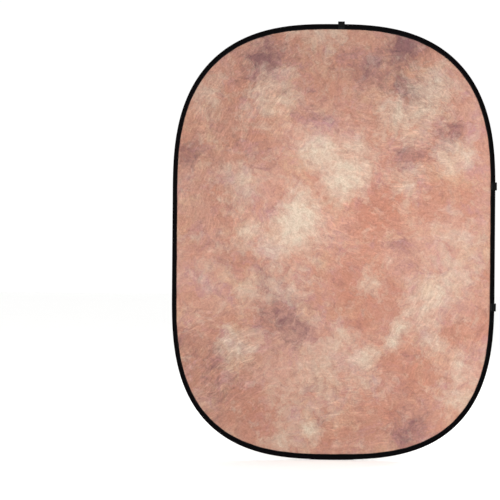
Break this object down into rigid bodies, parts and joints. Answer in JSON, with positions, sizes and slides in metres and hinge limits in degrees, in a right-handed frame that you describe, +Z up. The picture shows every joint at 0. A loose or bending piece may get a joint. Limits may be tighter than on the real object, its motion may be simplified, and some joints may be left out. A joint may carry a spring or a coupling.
{
  "type": "collapsible backdrop panel",
  "caption": "Tall rounded photographic backdrop of mottled muslin, stretched in a black rim sleeve over a sprung steel hoop that folds in half, with webbing loops on its top and one side.",
  "frame": {"origin": "on the floor under the middle of the panel: the middle of the rim's width and depth, at the bottom of the rim", "axes": "+Z up, along the panel's height; +X to the right, seen from the painted front; the painted front faces -Y"},
  "size_m": [1.4889, 0.0168, 2.0131],
  "materials": {
    "painted_muslin": "hand-mottled cotton muslin, cream and dusky blooms on terracotta",
    "reverse_muslin": "plain-dyed cotton muslin",
    "polyester_tape": "black woven polyester binding tape",
    "webbing": "black polypropylene webbing",
    "thread": "black bonded polyester thread",
    "spring_steel": "blued rolled spring steel strip",
    "zinc_plated_steel": "zinc-plated pressed steel"
  },
  "bodies": {
    "upper_half": {"front_cloth_upper": "painted_muslin", "back_cloth_upper": "reverse_muslin", "rim_sleeve_upper": "polyester_tape", "front_seam_thread_upper": "thread", "back_seam_thread_upper": "thread", "spring_band_upper": "spring_steel", "top_loop": "webbing", "top_loop_front_bartack": "thread", "top_loop_back_bartack": "thread", "upper_side_loop": "webbing", "upper_side_loop_front_bartack": "thread", "upper_side_loop_back_bartack": "thread"},
    "lower_half": {"front_cloth_lower": "painted_muslin", "back_cloth_lower": "reverse_muslin", "rim_sleeve_lower_left": "polyester_tape", "rim_sleeve_lower_right": "polyester_tape", "sleeve_closing_cover": "polyester_tape", "front_seam_thread_lower_left": "thread", "front_seam_thread_lower_right": "thread", "front_seam_thread_closing": "thread", "back_seam_thread_lower_left": "thread", "back_seam_thread_lower_right": "thread", "back_seam_thread_closing": "thread", "spring_band_lower_left": "spring_steel", "spring_band_lower_right": "spring_steel", "band_ferrule": "zinc_plated_steel", "ferrule_rivet_1": "zinc_plated_steel", "ferrule_rivet_2": "zinc_plated_steel", "ferrule_rivet_3": "zinc_plated_steel", "ferrule_rivet_4": "zinc_plated_steel", "lower_side_loop": "webbing", "lower_side_loop_front_bartack": "thread", "lower_side_loop_back_bartack": "thread"}
  },
  "joints": [
    {"name": "fold", "type": "hinge", "parent": "upper_half", "child": "lower_half", "pos_m": [0, -0.0064, 1.0011], "axis": [-1, 0, 0], "range_deg": [0, 150], "stiffness_Nm_per_rad": 6}
  ]
}
